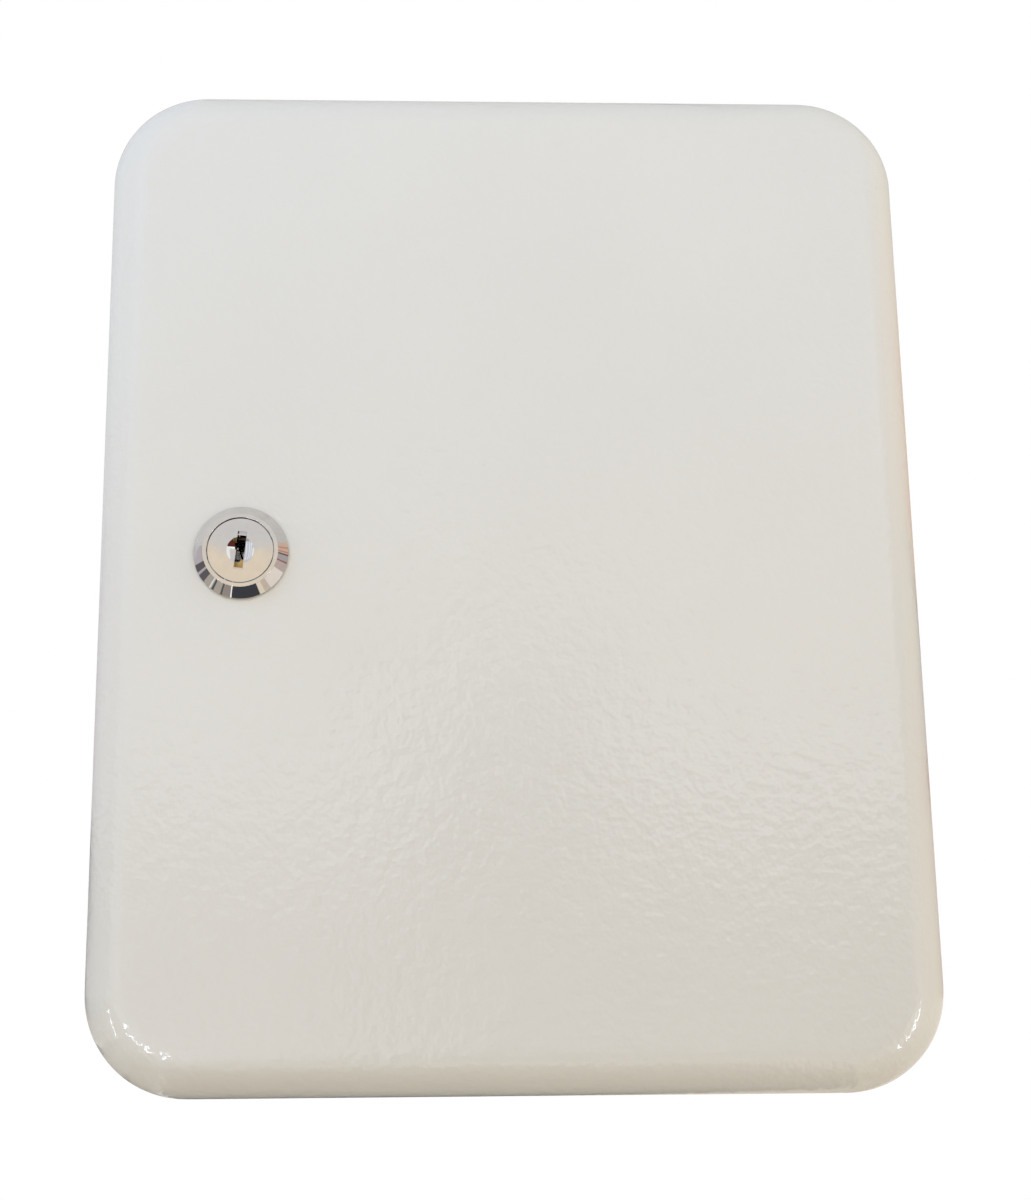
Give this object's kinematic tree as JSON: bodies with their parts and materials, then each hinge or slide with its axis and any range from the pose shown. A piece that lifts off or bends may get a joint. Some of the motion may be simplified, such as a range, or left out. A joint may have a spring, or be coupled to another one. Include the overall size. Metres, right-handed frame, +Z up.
{
  "type": "key cabinet",
  "caption": "Wall-hung steel key cabinet with rounded corners, rows of key hooks inside and a hinged door with a cam lock.",
  "frame": {"origin": "middle of the case's flat back face, where it lies on the wall", "axes": "+Z up, +Y out of the back into the wall, +X to the right as seen from the front; the door faces -Y"},
  "size_m": [0.2026, 0.0831, 0.25],
  "materials": {
    "paint": "gloss light grey powder coat with fine orange peel",
    "chrome": "bright chrome plate",
    "zinc": "bright zinc plate",
    "brass": "plain stamped brass",
    "spring_steel": "drawn spring wire",
    "paper": "uncoated white paper",
    "film": "clear soft vinyl film"
  },
  "bodies": {
    "case": {"case_shell": "paint", "hinge_leaf_case": "paint", "hinge_pin": "zinc", "hook_rail_1": "paint", "hook_rail_2": "paint", "hook_rail_3": "paint", "hook_rail_4": "paint", "hook_rail_5": "paint", "number_strip_1": "paper", "number_strip_2": "paper", "number_strip_3": "paper", "number_strip_4": "paper", "number_strip_5": "paper", "rail_rivet_01": "zinc", "rail_rivet_02": "zinc", "rail_rivet_03": "zinc", "rail_rivet_04": "zinc", "rail_rivet_05": "zinc", "rail_rivet_06": "zinc", "rail_rivet_07": "zinc", "rail_rivet_08": "zinc", "rail_rivet_09": "zinc", "rail_rivet_10": "zinc"},
    "door": {"door_shell": "paint", "hinge_leaf_door": "paint", "index_pocket": "film", "index_card": "paper", "lock_housing": "chrome", "lock_nut": "zinc"},
    "plug": {"lock_plug": "chrome", "stop_washer": "zinc", "lock_cam": "zinc", "cam_washer": "zinc", "cam_screw": "zinc", "wafer_spring_1": "spring_steel", "wafer_spring_2": "spring_steel", "wafer_spring_3": "spring_steel", "wafer_spring_4": "spring_steel", "wafer_spring_5": "spring_steel"},
    "wafer_1": {"wafer_1": "brass"},
    "wafer_2": {"wafer_2": "brass"},
    "wafer_3": {"wafer_3": "brass"},
    "wafer_4": {"wafer_4": "brass"},
    "wafer_5": {"wafer_5": "brass"}
  },
  "joints": [
    {"name": "door_hinge", "type": "hinge", "parent": "case", "child": "door", "pos_m": [0.10035, -0.058, 0], "axis": [0, 0, 1], "range_deg": [0, 180]},
    {"name": "plug_turn", "type": "hinge", "parent": "door", "child": "plug", "pos_m": [-0.0652, -0.08, 0.0015], "axis": [0, 1, 0], "range_deg": [-90, 0]},
    {"name": "wafer_1_slide", "type": "slide", "parent": "plug", "child": "wafer_1", "axis": [0.1045, 0, 0.9945], "range_m": [0, 0.0008], "stiffness_N_per_m": 200, "springref_m": 0.0018, "deforming": ["wafer_spring_1"]},
    {"name": "wafer_2_slide", "type": "slide", "parent": "plug", "child": "wafer_2", "axis": [0.1045, 0, 0.9945], "range_m": [0, 0.0008], "stiffness_N_per_m": 200, "springref_m": 0.0018, "deforming": ["wafer_spring_2"]},
    {"name": "wafer_3_slide", "type": "slide", "parent": "plug", "child": "wafer_3", "axis": [0.1045, 0, 0.9945], "range_m": [0, 0.0008], "stiffness_N_per_m": 200, "springref_m": 0.0018, "deforming": ["wafer_spring_3"]},
    {"name": "wafer_4_slide", "type": "slide", "parent": "plug", "child": "wafer_4", "axis": [0.1045, 0, 0.9945], "range_m": [0, 0.0008], "stiffness_N_per_m": 200, "springref_m": 0.0018, "deforming": ["wafer_spring_4"]},
    {"name": "wafer_5_slide", "type": "slide", "parent": "plug", "child": "wafer_5", "axis": [0.1045, 0, 0.9945], "range_m": [0, 0.0008], "stiffness_N_per_m": 200, "springref_m": 0.0018, "deforming": ["wafer_spring_5"]}
  ]
}
